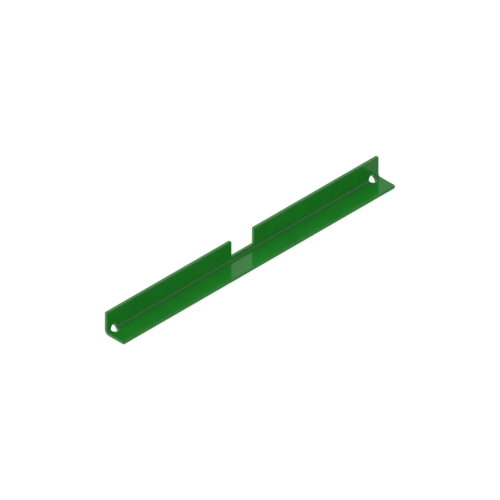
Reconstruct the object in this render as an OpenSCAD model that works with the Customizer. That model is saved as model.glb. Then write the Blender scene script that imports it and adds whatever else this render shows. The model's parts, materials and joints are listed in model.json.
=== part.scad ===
// Straight slide rail: one strip of sheet steel folded to an equal-leg angle.
// The rail lies along X. The upright flange stands at the +Y side, with its outer
// face at +Y, and the flat flange runs from the fold towards -Y.
// The origin is under the middle of the rail's box, on the plane it rests on.

/* [Rail] */
// Length of the rail
rail_l = 360; // [200:5:900]
// Outer width of the flat flange
flat_w = 25; // [20:1:60]
// Outer height of the upright flange
upright_h = 25; // [20:1:60]
// Thickness of the sheet
sheet_t = 3; // [1.5:0.5:4]
// Inner radius of the fold
fold_r = 2.5; // [1:0.5:4]

/* [Notch in the upright flange] */
// Length of the notch along the rail
notch_l = 30; // [10:1:80]
// Height of the notch's floor above the underside
notch_floor_z = 7; // [5:0.5:12]

/* [Screw holes through the fold] */
// Diameter of each hole
hole_d = 8; // [5:0.5:9]
// Distance from the rail's end to the hole's centre
hole_inset = 9; // [8:1:40]

/* [Hidden] */
$fn = 96;
// How far each cutting shape reaches past the sheet
cut_over = 1;
// Tilt of each hole's axis from the vertical, halfway between the flanges
hole_tilt = 45;
outer_r = fold_r + sheet_t;
fold_y = flat_w / 2;
hole_reach = 2 * outer_r + hole_d;
hole_x = rail_l / 2 - hole_inset;

// Quarter of a ring that joins the two flanges, centred on its own arc
module fold_section() {
    intersection() {
        difference() {
            circle(r = outer_r);
            circle(r = fold_r);
        }
        translate([0, -outer_r])
            square(outer_r);
    }
}

// The sheet's section, drawn with X as the rail's Y and Y as the rail's Z
module rail_section() {
    translate([fold_y - outer_r, outer_r])
        fold_section();
    translate([fold_y - flat_w, 0])
        square([flat_w - outer_r, sheet_t]);
    translate([fold_y - sheet_t, outer_r])
        square([sheet_t, upright_h - outer_r]);
}

// The section carried along the whole length
module folded_strip() {
    translate([-rail_l / 2, 0, 0])
        rotate([90, 0, 90])
            linear_extrude(height = rail_l)
                rail_section();
}

// The block that cuts the notch, open at the upright flange's top edge
module notch_cut() {
    translate([-notch_l / 2, fold_y - sheet_t - cut_over, notch_floor_z])
        cube([notch_l, sheet_t + 2 * cut_over, upright_h - notch_floor_z + cut_over]);
}

// One hole, drilled square to the outside of the fold
module fold_hole(x) {
    translate([x, fold_y, 0])
        rotate([hole_tilt, 0, 0])
            cylinder(d = hole_d, h = 2 * hole_reach, center = true);
}

module slide_rail() {
    color([0.1, 0.45, 0.13])
        difference() {
            folded_strip();
            notch_cut();
            for (side = [-1, 1])
                fold_hole(side * hole_x);
        }
}

slide_rail();
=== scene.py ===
import json
import math

import bpy
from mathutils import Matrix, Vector
from mathutils.geometry import delaunay_2d_cdt


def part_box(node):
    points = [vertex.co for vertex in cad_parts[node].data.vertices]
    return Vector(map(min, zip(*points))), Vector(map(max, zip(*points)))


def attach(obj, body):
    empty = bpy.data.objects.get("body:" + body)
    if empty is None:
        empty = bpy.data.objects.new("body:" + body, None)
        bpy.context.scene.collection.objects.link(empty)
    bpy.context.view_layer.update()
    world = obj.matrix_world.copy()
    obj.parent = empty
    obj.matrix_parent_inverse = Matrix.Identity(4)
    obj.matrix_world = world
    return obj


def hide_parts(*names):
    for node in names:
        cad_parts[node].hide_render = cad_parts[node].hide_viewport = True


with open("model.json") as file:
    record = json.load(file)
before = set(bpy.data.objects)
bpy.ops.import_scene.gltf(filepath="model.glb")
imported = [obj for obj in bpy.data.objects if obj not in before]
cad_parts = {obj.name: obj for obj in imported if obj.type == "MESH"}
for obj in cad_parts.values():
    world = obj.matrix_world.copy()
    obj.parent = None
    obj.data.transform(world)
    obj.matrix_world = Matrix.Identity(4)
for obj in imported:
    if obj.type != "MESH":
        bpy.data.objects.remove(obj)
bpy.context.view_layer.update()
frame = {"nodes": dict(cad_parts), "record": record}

# ---------------------------------------------------------------- names and sizes

NODE = "slide_rail"
BODY = "root"
MM = 0.001
TINY = 0.01 * MM
QUARTER_TURN = math.radians(90)
HALF_FOLD = QUARTER_TURN / 2

# The way a point of the sheet looks, as a turn from the outside of the fold to the inside
OUTWARD = 0.0
INWARD = math.pi

# Rounding of the cut sheet, which the CAD model leaves sharp
EDGE_R = 0.1 * MM
EDGE_STEPS = 4
CORNER_R = 0.7 * MM
CORNER_STEPS = 6

# Half-width of the painted shade along the inside of the fold, a darker line that stands in for the
# shade in the crease
FOLD_SHADE_REACH = 2.8 * MM

# Spacing of the mesh
FOLD_STEPS = 18
HOLE_STEPS = 120
FLAT_STEP = 1.5 * MM
LONG_STEP = 5.0 * MM
FINE_STEP = 1.0 * MM
FINE_REACH = 9.0 * MM
RING_GAPS = [0.25 * MM, 0.6 * MM, 1.1 * MM]
CLEAR_OF_CORNER = 0.25 * MM
CLEAR_OF_EDGE = 0.5 * MM
CLEAR_OF_HOLE = 1.6 * MM

# Decimals of a metre that the cross lines are rounded to, so that equal ones merge
LINE_DECIMALS = 7

# For the triangulation: keep the triangles inside the outline, and merge points nearer than this in mm
INSIDE_ONLY = 1
MERGE_LIMIT = 1e-6

# The paint on the broad faces: darkest and palest colour, roughness, refraction, and its fine bumps
DARK_GREEN = (0.0105, 0.208, 0.0160, 1)
PALE_GREEN = (0.0125, 0.238, 0.0195, 1)
LEAST_ROUGHNESS = 0.11
MOST_ROUGHNESS = 0.15
PAINT_IOR = 1.4
PEEL_DEPTH = 0.01 * MM
PEEL_STRENGTH = 0.25

# Noise textures in the paint: its patches of tint, its patches of roughness, and its fine bumps
TINT_NOISE = {"Scale": 45.0, "Detail": 3.0, "Roughness": 0.55}
ROUGHNESS_NOISE = {"Scale": 120.0, "Detail": 4.0, "Roughness": 0.6}
PEEL_NOISE = {"Scale": 520.0, "Detail": 2.0, "Roughness": 0.4}

# The cut edges, made paler by painted light and given more roughness, and the painted shade along the
# inside of the fold, against the paint on the broad faces
EDGE_PAINTED_LIGHT = (1.15, 1.15, 1.15, 1)
EDGE_ROUGHNESS = 0.2
FOLD_PAINTED_SHADE = (0.53, 0.53, 0.53, 1)

# The middle part of a noise texture's range, where nearly all of its values are
NOISE_LOW = 0.3
NOISE_HIGH = 0.7

# Brightness of the studio's dome on matt surfaces: its upper half, front and back, and its lower half
SOFT_FRONT = 0.95
SOFT_BACK = 0.7
SOFT_BELOW = 0.15

# Brightness of the studio's dome in reflections, from low down to overhead, in front and behind
MIRRORED_LOW_FRONT = 0.62
MIRRORED_FRONT = 1.3
MIRRORED_HIGH_FRONT = 0.72
MIRRORED_LOW_BACK = 0.9
MIRRORED_BACK = 0.96

# Where the front's brightness changes in reflections, as the height of a direction of length 1,
# and half the width of every change
FRONT_TOP = 0.38
FRONT_BOTTOM = -0.12
DOME_BLUR = 0.15

# What the camera sees of the dome
SEEN_WHITE = 1.0
WHITE = (1, 1, 1, 1)

# The key light, the floor and the camera
KEY_STRENGTH = 1.26
KEY_HEIGHT = math.radians(8)
KEY_WIDTH = math.radians(25)
FLOOR_GAP = 0.1 * MM
FLOOR_HALF_WIDTH = 6.0
FLOOR_GREY = (0.3, 0.3, 0.3, 1)
FLOOR_GLOW = 0.8
CAMERA_DISTANCE = 2.0
VIEW_WIDTH_PER_LENGTH = 1.302


class Rail:
    """The rail's sizes in metres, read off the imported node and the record's mounts.

    A run is a stretch across the unfolded strip, and the girth is the strip's whole width.
    notch_q is how far across the strip the notch's floor lies.
    """

    def __init__(self):
        corners = [v.co for v in frame["nodes"][NODE].data.vertices]
        mounts = {m["name"]: m for m in frame["record"]["mounts"]}
        holes = [m for m in mounts.values() if m["kind"] == "bore"]
        self.low, self.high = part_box(NODE)
        self.sheet = mounts["flat_inner_face"]["pos_m"][2] - self.low.z
        self.hole_r = holes[0]["dims"]["r_mm"] * MM
        self.hole_x = [m["pos_m"][0] for m in holes]
        on_top = [abs(c.x) for c in corners if c.z > self.high.z - TINY]
        self.notch_half = min(on_top)
        in_notch = [c.z for c in corners if abs(c.x) < self.notch_half + TINY]
        self.notch_floor = max(z for z in in_notch if z < self.high.z - TINY)
        on_floor = [c.y for c in corners if c.z < self.low.z + TINY]
        self.fold_r = self.high.y - max(on_floor)
        self.middle_r = self.fold_r - self.sheet / 2
        self.flat_run = self.high.y - self.low.y - self.fold_r
        self.up_run = self.high.z - self.low.z - self.fold_r
        self.fold_run = self.middle_r * QUARTER_TURN
        self.girth = self.flat_run + self.fold_run + self.up_run
        self.notch_q = self.flat_run + self.fold_run + self.notch_floor - self.low.z - self.fold_r


RAIL = Rail()

# ---------------------------------------------------------------- the folded sheet
#
# A place on the sheet is (x, q, depth): x along the rail, q across the unfolded
# strip from the flat flange's tip to the upright flange's tip, and depth into the
# sheet from the outside of the fold.


def section(q, depth):
    """Place, outward normal and direction of growing q at (q, depth), as (y, z) pairs."""
    bend_r = RAIL.fold_r - depth
    centre_y = RAIL.high.y - RAIL.fold_r
    centre_z = RAIL.low.z + RAIL.fold_r
    if q <= RAIL.flat_run:
        return (RAIL.low.y + q, RAIL.low.z + depth), (0, -1), (1, 0)
    if q >= RAIL.flat_run + RAIL.fold_run:
        height = centre_z + q - RAIL.flat_run - RAIL.fold_run
        return (RAIL.high.y - depth, height), (1, 0), (0, 1)
    turn = (q - RAIL.flat_run) / RAIL.middle_r
    outward = (math.sin(turn), -math.cos(turn))
    place = (centre_y + bend_r * outward[0], centre_z + bend_r * outward[1])
    return place, outward, (math.cos(turn), math.sin(turn))


def sideways(q, depth):
    """Distance of (q, depth) from the plane that halves the fold, towards the upright flange."""
    (y, z), _, _ = section(q, depth)
    return (y - RAIL.high.y + z - RAIL.low.z) * math.sin(HALF_FOLD)


def q_beside_hole(side, depth):
    """The q whose distance from the fold's halving plane is side, at that depth."""
    bend_r = RAIL.fold_r - depth
    in_bend = bend_r * math.sin(HALF_FOLD)
    middle = RAIL.flat_run + RAIL.fold_run / 2
    if abs(side) <= in_bend:
        return middle + RAIL.middle_r * math.asin(side / bend_r)
    beyond = (abs(side) - in_bend) / math.cos(HALF_FOLD)
    return middle + math.copysign(RAIL.fold_run / 2 + beyond, side)


def fold_shade_share(q):
    """How near q is to the middle of the fold, from 1 in the middle to 0 well away from it. It spreads
    the painted shade along the inside of the fold.
    """
    from_middle = q - RAIL.flat_run - RAIL.fold_run / 2
    return math.exp(-((from_middle / FOLD_SHADE_REACH) ** 2))


def rounded_rim():
    """The cut edge from outside to inside as (inset, depth, turn), with turn from OUTWARD to INWARD."""
    quarter = [QUARTER_TURN * i / EDGE_STEPS for i in range(EDGE_STEPS + 1)]
    outer = [(EDGE_R * (1 - math.sin(a)), EDGE_R * (1 - math.cos(a)), a) for a in quarter]
    inner = [(inset, RAIL.sheet - depth, INWARD - a) for inset, depth, a in reversed(outer)]
    return outer + inner


RIM = rounded_rim()


def grid_lines(low, high, step):
    """Evenly spaced values from low to high, about step apart."""
    count = max(1, round((high - low) / step))
    return [low + (high - low) * i / count for i in range(count + 1)]


def long_lines():
    """The x of the mesh's cross lines, closer together beside the holes."""
    lines = {round(x, LINE_DECIMALS) for x in grid_lines(RAIL.low.x, RAIL.high.x, LONG_STEP)}
    for centre in RAIL.hole_x:
        lines = {x for x in lines if abs(x - centre) > FINE_REACH}
        fine = grid_lines(centre - FINE_REACH, centre + FINE_REACH, FINE_STEP)
        lines |= {round(x, LINE_DECIMALS) for x in fine}
    return sorted(lines)


def girth_lines():
    """The q of the mesh's lengthwise lines, closer together round the fold."""
    fold_start = RAIL.flat_run
    fold_end = RAIL.flat_run + RAIL.fold_run
    flat = grid_lines(0, fold_start, FLAT_STEP)
    fold = grid_lines(fold_start, fold_end, RAIL.fold_run / FOLD_STEPS)
    upright = grid_lines(fold_end, RAIL.girth, FLAT_STEP)
    return sorted(set(flat) | set(fold) | set(upright))


LONG_LINES = long_lines()
GIRTH_LINES = girth_lines()


def outline_corners():
    """The unfolded strip's corners as (x, q), anticlockwise, with the notch in the far side."""
    half = RAIL.notch_half
    notch_q = RAIL.notch_q
    return [
        Vector((RAIL.low.x, 0)),
        Vector((RAIL.high.x, 0)),
        Vector((RAIL.high.x, RAIL.girth)),
        Vector((half, RAIL.girth)),
        Vector((half, notch_q)),
        Vector((-half, notch_q)),
        Vector((-half, RAIL.girth)),
        Vector((RAIL.low.x, RAIL.girth)),
    ]


def straight_run(start, end):
    """The mesh lines' crossings strictly between two outline points on one straight edge."""
    along_x = abs(end.x - start.x) > abs(end.y - start.y)
    lines = LONG_LINES if along_x else GIRTH_LINES
    first, last = (start.x, end.x) if along_x else (start.y, end.y)
    low, high = sorted((first, last))
    inside = [v for v in lines if low + CLEAR_OF_CORNER < v < high - CLEAR_OF_CORNER]
    if first > last:
        inside.reverse()
    return [Vector((v, start.y)) if along_x else Vector((start.x, v)) for v in inside]


def outline():
    """The strip's outline with rounded corners, as (place, outward direction) pairs.

    bulge is 1 where the corner points out of the strip and -1 where it points into it.
    """
    corners = outline_corners()
    points = []
    for i, corner in enumerate(corners):
        ahead = (corner - corners[i - 1]).normalized()
        after = corners[(i + 1) % len(corners)]
        turning = (after - corner).normalized()
        outward = Vector((ahead.y, -ahead.x))
        hollow = turning.dot(outward) > 0
        bulge = -1 if hollow else 1
        centre = corner - ahead * CORNER_R - outward * CORNER_R * bulge
        for j in range(CORNER_STEPS + 1):
            angle = QUARTER_TURN * j / CORNER_STEPS
            facing = outward * math.cos(angle) + ahead * math.sin(angle) * bulge
            points.append((centre + facing * CORNER_R * bulge, facing))
        last_place, last_facing = points[-1]
        run_end = after - turning * CORNER_R
        points += [(place, last_facing) for place in straight_run(last_place, run_end)]
    return points


def in_strip(x, q, margin):
    """True if (x, q) is inside the strip's outline by at least margin."""
    if min(x - RAIL.low.x, RAIL.high.x - x, q, RAIL.girth - q) < margin:
        return False
    return abs(x) > RAIL.notch_half + margin or q < RAIL.notch_q - margin


def clear_of_holes(x, q, depth, margin):
    """True if (x, q, depth) is outside both holes by at least margin."""
    side = sideways(q, depth)
    return all(math.hypot(x - centre, side) > RAIL.hole_r + margin for centre in RAIL.hole_x)


class SheetMesh:
    """Collects the sheet's points with their exact normals, and its faces."""

    def __init__(self):
        self.points = []
        self.normals = []
        self.on_rim = []
        self.in_fold = []
        self.faces = []

    def add(self, x, q, depth, facing, turn):
        """Adds one point and returns its index. facing is a cut edge's outward direction in 3-D."""
        (y, z), outward, _ = section(q, depth)
        out = Vector((0, outward[0], outward[1]))
        normal = out * math.cos(turn)
        if facing is not None:
            normal += facing * math.sin(turn)
        self.points.append(Vector((x, y, z)))
        self.normals.append(normal.normalized())
        self.on_rim.append(math.sin(turn))
        # Painted shade: how strongly the paint is darkened along the inside of the fold
        self.in_fold.append(fold_shade_share(q) * depth / RAIL.sheet)
        return len(self.points) - 1

    def join_rim(self, rows):
        """Faces between neighbouring points of a closed loop, where each row runs through the sheet."""
        for i, row in enumerate(rows):
            after = rows[(i + 1) % len(rows)]
            for k in range(len(RIM) - 1):
                self.faces.append((row[k], after[k], after[k + 1], row[k + 1]))

    def add_outline(self):
        """The cut edge all round the strip, as rows of points that each run through the sheet."""
        rows = []
        for place, facing in outline():
            row = []
            for inset, depth, turn in RIM:
                x = place.x - facing.x * inset
                q = place.y - facing.y * inset
                along = section(q, depth)[2]
                out = Vector((facing.x, facing.y * along[0], facing.y * along[1]))
                row.append(self.add(x, q, depth, out, turn))
            rows.append(row)
        self.join_rim(rows)
        return rows

    def add_hole(self, centre_x):
        """The wall of one hole, as rows of points that each run through the sheet."""
        rows = []
        for i in range(HOLE_STEPS):
            angle = -math.tau * i / HOLE_STEPS
            across = math.sin(angle)
            out = -Vector((math.cos(angle), across * math.cos(HALF_FOLD), across * math.sin(HALF_FOLD)))
            row = []
            for inset, depth, turn in RIM:
                reach = RAIL.hole_r + inset
                q = q_beside_hole(reach * across, depth)
                row.append(self.add(centre_x + reach * math.cos(angle), q, depth, out, turn))
            rows.append(row)
        self.join_rim(rows)
        return rows

    def inner_places(self, depth):
        """Places for the points of one broad face, away from its edges."""
        places = []
        for gap in RING_GAPS:
            reach = RAIL.hole_r + EDGE_R + gap
            for centre in RAIL.hole_x:
                for i in range(HOLE_STEPS):
                    angle = math.tau * i / HOLE_STEPS
                    q = q_beside_hole(reach * math.sin(angle), depth)
                    places.append((centre + reach * math.cos(angle), q))
        for x in LONG_LINES:
            for q in GIRTH_LINES:
                if in_strip(x, q, EDGE_R + CLEAR_OF_EDGE):
                    if clear_of_holes(x, q, depth, CLEAR_OF_HOLE):
                        places.append((x, q))
        return places

    def fill_face(self, loops, depth, turn, layer):
        """Triangles over the outside or the inside of the sheet, between its cut edges.

        turn is the way the face looks, as in rounded_rim, and layer the rim point that it meets.
        """
        indices = []
        edges = []
        for rows in loops:
            start = len(indices)
            for i, row in enumerate(rows):
                indices.append(row[layer])
                edges.append((start + i, start + (i + 1) % len(rows)))
        flat = [self.unfolded(i, depth) for i in indices]
        for x, q in self.inner_places(depth):
            indices.append(self.add(x, q, depth, None, turn))
            flat.append(Vector((x, q)) / MM)
        made, _, triangles, origins, _, _ = delaunay_2d_cdt(flat, edges, [], INSIDE_ONLY, MERGE_LIMIT)
        if len(made) != len(flat):
            raise ValueError("the sheet's face has crossing edges")
        for triangle in triangles:
            middle = sum((made[i] for i in triangle), Vector((0, 0))) * (MM / len(triangle))
            if clear_of_holes(middle.x, middle.y, depth, EDGE_R / 2):
                corners = [indices[origins[i][0]] for i in triangle]
                self.faces.append(corners if turn == INWARD else corners[::-1])

    def unfolded(self, index, depth):
        """The (x, q) of a point already made, in millimetres, for the triangulation."""
        place = self.points[index]
        y, z = place.y, place.z
        centre_y = RAIL.high.y - RAIL.fold_r
        centre_z = RAIL.low.z + RAIL.fold_r
        if y <= centre_y:
            q = y - RAIL.low.y
        elif z >= centre_z:
            q = RAIL.flat_run + RAIL.fold_run + z - centre_z
        else:
            q = RAIL.flat_run + RAIL.middle_r * math.atan2(y - centre_y, centre_z - z)
        return Vector((place.x, q)) / MM


def make_rail():
    """The painted rail: the CAD shape with a smooth fold, rounded cut edges and exact normals."""
    sheet = SheetMesh()
    loops = [sheet.add_outline()] + [sheet.add_hole(x) for x in RAIL.hole_x]
    sheet.fill_face(loops, 0.0, OUTWARD, 0)
    sheet.fill_face(loops, RAIL.sheet, INWARD, len(RIM) - 1)
    mesh = bpy.data.meshes.new("painted_rail")
    mesh.from_pydata(sheet.points, [], sheet.faces)
    mesh.polygons.foreach_set("use_smooth", [True] * len(mesh.polygons))
    for name, values in (("cut_edge", sheet.on_rim), ("in_fold", sheet.in_fold)):
        mesh.attributes.new(name, "FLOAT", "POINT").data.foreach_set("value", values)
    mesh.normals_split_custom_set_from_vertices(sheet.normals)
    mesh.validate()
    mesh.update()
    piece = bpy.data.objects.new("painted_rail", mesh)
    bpy.context.scene.collection.objects.link(piece)
    return piece


# ---------------------------------------------------------------- materials


def add_node(tree, kind, **settings):
    """A shader node with its sockets set by name."""
    node = tree.nodes.new(kind)
    for name, value in settings.items():
        node.inputs[name.replace("_", " ")].default_value = value
    return node


def mix(tree, share, low, high):
    """A node output that is low where share is 0 and high where it is 1. Both are numbers or outputs."""
    node = tree.nodes.new("ShaderNodeMix")
    tree.links.new(share, node.inputs["Factor"])
    for name, value in (("A", low), ("B", high)):
        if isinstance(value, float):
            node.inputs[name].default_value = value
        else:
            tree.links.new(value, node.inputs[name])
    return node.outputs["Result"]


def new_material(name):
    """A material with one Principled shader, its node tree and the shader."""
    material = bpy.data.materials.new(name)
    material.use_nodes = True
    tree = material.node_tree
    tree.nodes.clear()
    output = tree.nodes.new("ShaderNodeOutputMaterial")
    shader = tree.nodes.new("ShaderNodeBsdfPrincipled")
    tree.links.new(shader.outputs["BSDF"], output.inputs["Surface"])
    return material, tree, shader


def attribute(tree, name):
    """The output of one of the mesh's own point values."""
    node = tree.nodes.new("ShaderNodeAttribute")
    node.attribute_name = name
    return node.outputs["Fac"]


def colour_socket(sockets, name):
    """The colour socket of that name. A Mix node has one of each kind under each name."""
    return next(socket for socket in sockets if socket.name == name and socket.type == "RGBA")


def times(tree, colour, share, tint):
    """A colour output, multiplied by tint where share is 1."""
    node = tree.nodes.new("ShaderNodeMix")
    node.data_type = "RGBA"
    node.blend_type = "MULTIPLY"
    node.clamp_result = False
    tree.links.new(share, node.inputs["Factor"])
    tree.links.new(colour, colour_socket(node.inputs, "A"))
    colour_socket(node.inputs, "B").default_value = tint
    return colour_socket(node.outputs, "Result")


def noise(tree, place, settings):
    """The output of a noise texture with those settings, laid on the coordinates in place."""
    texture = add_node(tree, "ShaderNodeTexNoise", **settings)
    tree.links.new(place, texture.inputs["Vector"])
    return texture.outputs["Fac"]


def green_paint():
    """Smooth gloss green paint, with painted light that makes the cut edges paler and painted shade that
    darkens the inside of the fold.
    """
    material, tree, shader = new_material("green_gloss_paint")
    link = tree.links.new
    place = tree.nodes.new("ShaderNodeTexCoord").outputs["Object"]
    cut_edge = attribute(tree, "cut_edge")

    tint = tree.nodes.new("ShaderNodeValToRGB")
    dark, pale = tint.color_ramp.elements
    dark.position = NOISE_LOW
    dark.color = DARK_GREEN
    pale.position = NOISE_HIGH
    pale.color = PALE_GREEN
    link(noise(tree, place, TINT_NOISE), tint.inputs["Fac"])
    # Painted light: the cut edges are made paler, as edges that catch the light
    edge_lit = times(tree, tint.outputs["Color"], cut_edge, EDGE_PAINTED_LIGHT)
    # Painted shade: the paint is darkened along the inside of the fold, where the crease is shaded
    fold_shaded = times(tree, edge_lit, attribute(tree, "in_fold"), FOLD_PAINTED_SHADE)
    link(fold_shaded, shader.inputs["Base Color"])

    rough = add_node(tree, "ShaderNodeMapRange", From_Min=NOISE_LOW, From_Max=NOISE_HIGH,
                     To_Min=LEAST_ROUGHNESS, To_Max=MOST_ROUGHNESS)
    link(noise(tree, place, ROUGHNESS_NOISE), rough.inputs["Value"])
    worn = mix(tree, cut_edge, rough.outputs["Result"], EDGE_ROUGHNESS)
    link(worn, shader.inputs["Roughness"])

    bump = add_node(tree, "ShaderNodeBump", Strength=PEEL_STRENGTH, Distance=PEEL_DEPTH)
    link(noise(tree, place, PEEL_NOISE), bump.inputs["Height"])
    link(bump.outputs["Normal"], shader.inputs["Normal"])

    shader.inputs["IOR"].default_value = PAINT_IOR
    return material


# ---------------------------------------------------------------- stage, light and camera


def pale_floor():
    """Matt floor that glows white, so that the rail's own shadow stays faint."""
    material, _, shader = new_material("pale_floor")
    shader.inputs["Base Color"].default_value = FLOOR_GREY
    shader.inputs["Roughness"].default_value = 1.0
    shader.inputs["Specular IOR Level"].default_value = 0.0
    shader.inputs["Emission Color"].default_value = WHITE
    shader.inputs["Emission Strength"].default_value = FLOOR_GLOW
    return material


def make_floor():
    """A wide flat floor just under the rail. Only the camera sees it."""
    half = FLOOR_HALF_WIDTH
    z = RAIL.low.z - FLOOR_GAP
    mesh = bpy.data.meshes.new("floor")
    corners = [(-half, -half, z), (half, -half, z), (half, half, z), (-half, half, z)]
    mesh.from_pydata(corners, [], [(0, 1, 2, 3)])
    floor = bpy.data.objects.new("floor", mesh)
    floor.data.materials.append(pale_floor())
    floor.visible_diffuse = False
    floor.visible_glossy = False
    floor.visible_shadow = False
    bpy.context.scene.collection.objects.link(floor)


def past_level(tree, component, level=0.0):
    """A node output that turns softly from 0 to 1 as a direction's component passes a level."""
    ramp = add_node(tree, "ShaderNodeMapRange", From_Min=level - DOME_BLUR, From_Max=level + DOME_BLUR)
    ramp.interpolation_type = "SMOOTHSTEP"
    tree.links.new(component, ramp.inputs["Value"])
    return ramp.outputs["Result"]


def make_world():
    """A soft white dome that the camera sees as plain white."""
    world = bpy.data.worlds.new("studio")
    world.use_nodes = True
    tree = world.node_tree
    rays = tree.nodes.new("ShaderNodeLightPath").outputs
    direction = tree.nodes.new("ShaderNodeSeparateXYZ")
    place = tree.nodes.new("ShaderNodeTexCoord").outputs["Generated"]
    tree.links.new(place, direction.inputs["Vector"])
    height = direction.outputs["Z"]
    above = past_level(tree, height)
    behind = past_level(tree, direction.outputs["Y"])
    soft = mix(tree, above, SOFT_BELOW, mix(tree, behind, SOFT_FRONT, SOFT_BACK))
    upper_front = mix(tree, past_level(tree, height, FRONT_TOP), MIRRORED_FRONT, MIRRORED_HIGH_FRONT)
    front = mix(tree, past_level(tree, height, FRONT_BOTTOM), MIRRORED_LOW_FRONT, upper_front)
    back = mix(tree, above, MIRRORED_LOW_BACK, MIRRORED_BACK)
    mirrored = mix(tree, behind, front, back)
    lit = mix(tree, rays["Is Glossy Ray"], soft, mirrored)
    seen = mix(tree, rays["Is Camera Ray"], lit, SEEN_WHITE)
    sky = tree.nodes["Background"]
    sky.inputs["Color"].default_value = WHITE
    tree.links.new(seen, sky.inputs["Strength"])
    bpy.context.scene.world = world


def make_key_light():
    """A broad soft light from the rail's low-X end."""
    data = bpy.data.lights.new("key", "SUN")
    data.energy = KEY_STRENGTH
    data.angle = KEY_WIDTH
    key = bpy.data.objects.new("key", data)
    towards_rail = Vector((1, 0, -math.tan(KEY_HEIGHT)))
    key.rotation_euler = towards_rail.to_track_quat("-Z", "Y").to_euler()
    bpy.context.scene.collection.objects.link(key)


def make_camera():
    """An isometric view without perspective, from the open side of the rail."""
    centre = (RAIL.low + RAIL.high) / 2
    back = Vector((-1, -1, 1)).normalized()
    data = bpy.data.cameras.new("camera")
    data.type = "ORTHO"
    data.ortho_scale = VIEW_WIDTH_PER_LENGTH * (RAIL.high.x - RAIL.low.x)
    data.clip_end = 2 * CAMERA_DISTANCE
    camera = bpy.data.objects.new("camera", data)
    camera.location = centre + back * CAMERA_DISTANCE
    camera.rotation_euler = (-back).to_track_quat("-Z", "Y").to_euler()
    bpy.context.scene.collection.objects.link(camera)
    bpy.context.scene.camera = camera


bpy.context.scene.view_settings.view_transform = "Standard"
make_camera()
make_floor()
make_world()
make_key_light()
rail = make_rail()
rail.data.materials.append(green_paint())
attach(rail, BODY)
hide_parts(NODE)
